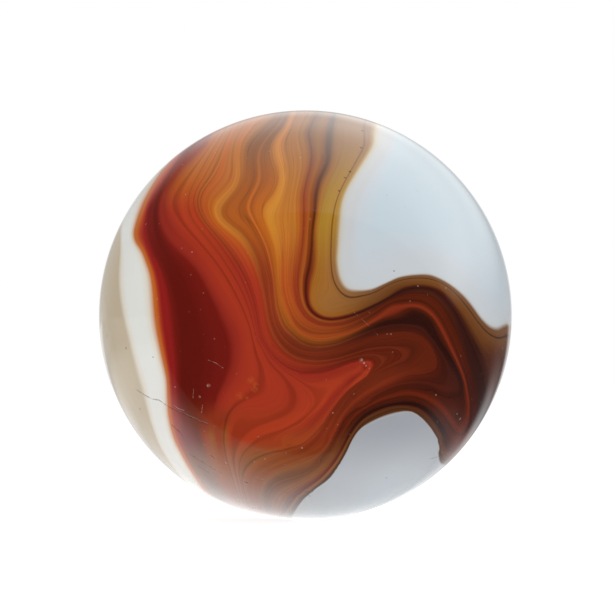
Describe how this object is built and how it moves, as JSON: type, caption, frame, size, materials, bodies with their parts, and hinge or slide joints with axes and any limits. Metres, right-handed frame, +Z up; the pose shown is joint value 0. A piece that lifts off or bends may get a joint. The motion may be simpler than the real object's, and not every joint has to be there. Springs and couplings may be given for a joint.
{
  "type": "glass marble",
  "caption": "Solid glass playing marble, a slightly flattened ball with a folded swirl of amber, rust, oxblood and mahogany in opal white.",
  "frame": {"origin": "middle of the ball", "axes": "+Z up, along the ball's short axis; -Y towards the side of the swirl that is looked at most; +X to the right of it"},
  "size_m": [0.016, 0.016, 0.0158],
  "materials": {
    "swirl_glass": "polished opaque and translucent glass in swirled colours, lightly worn"
  },
  "bodies": {
    "root": {"marble": "swirl_glass"}
  },
  "joints": []
}
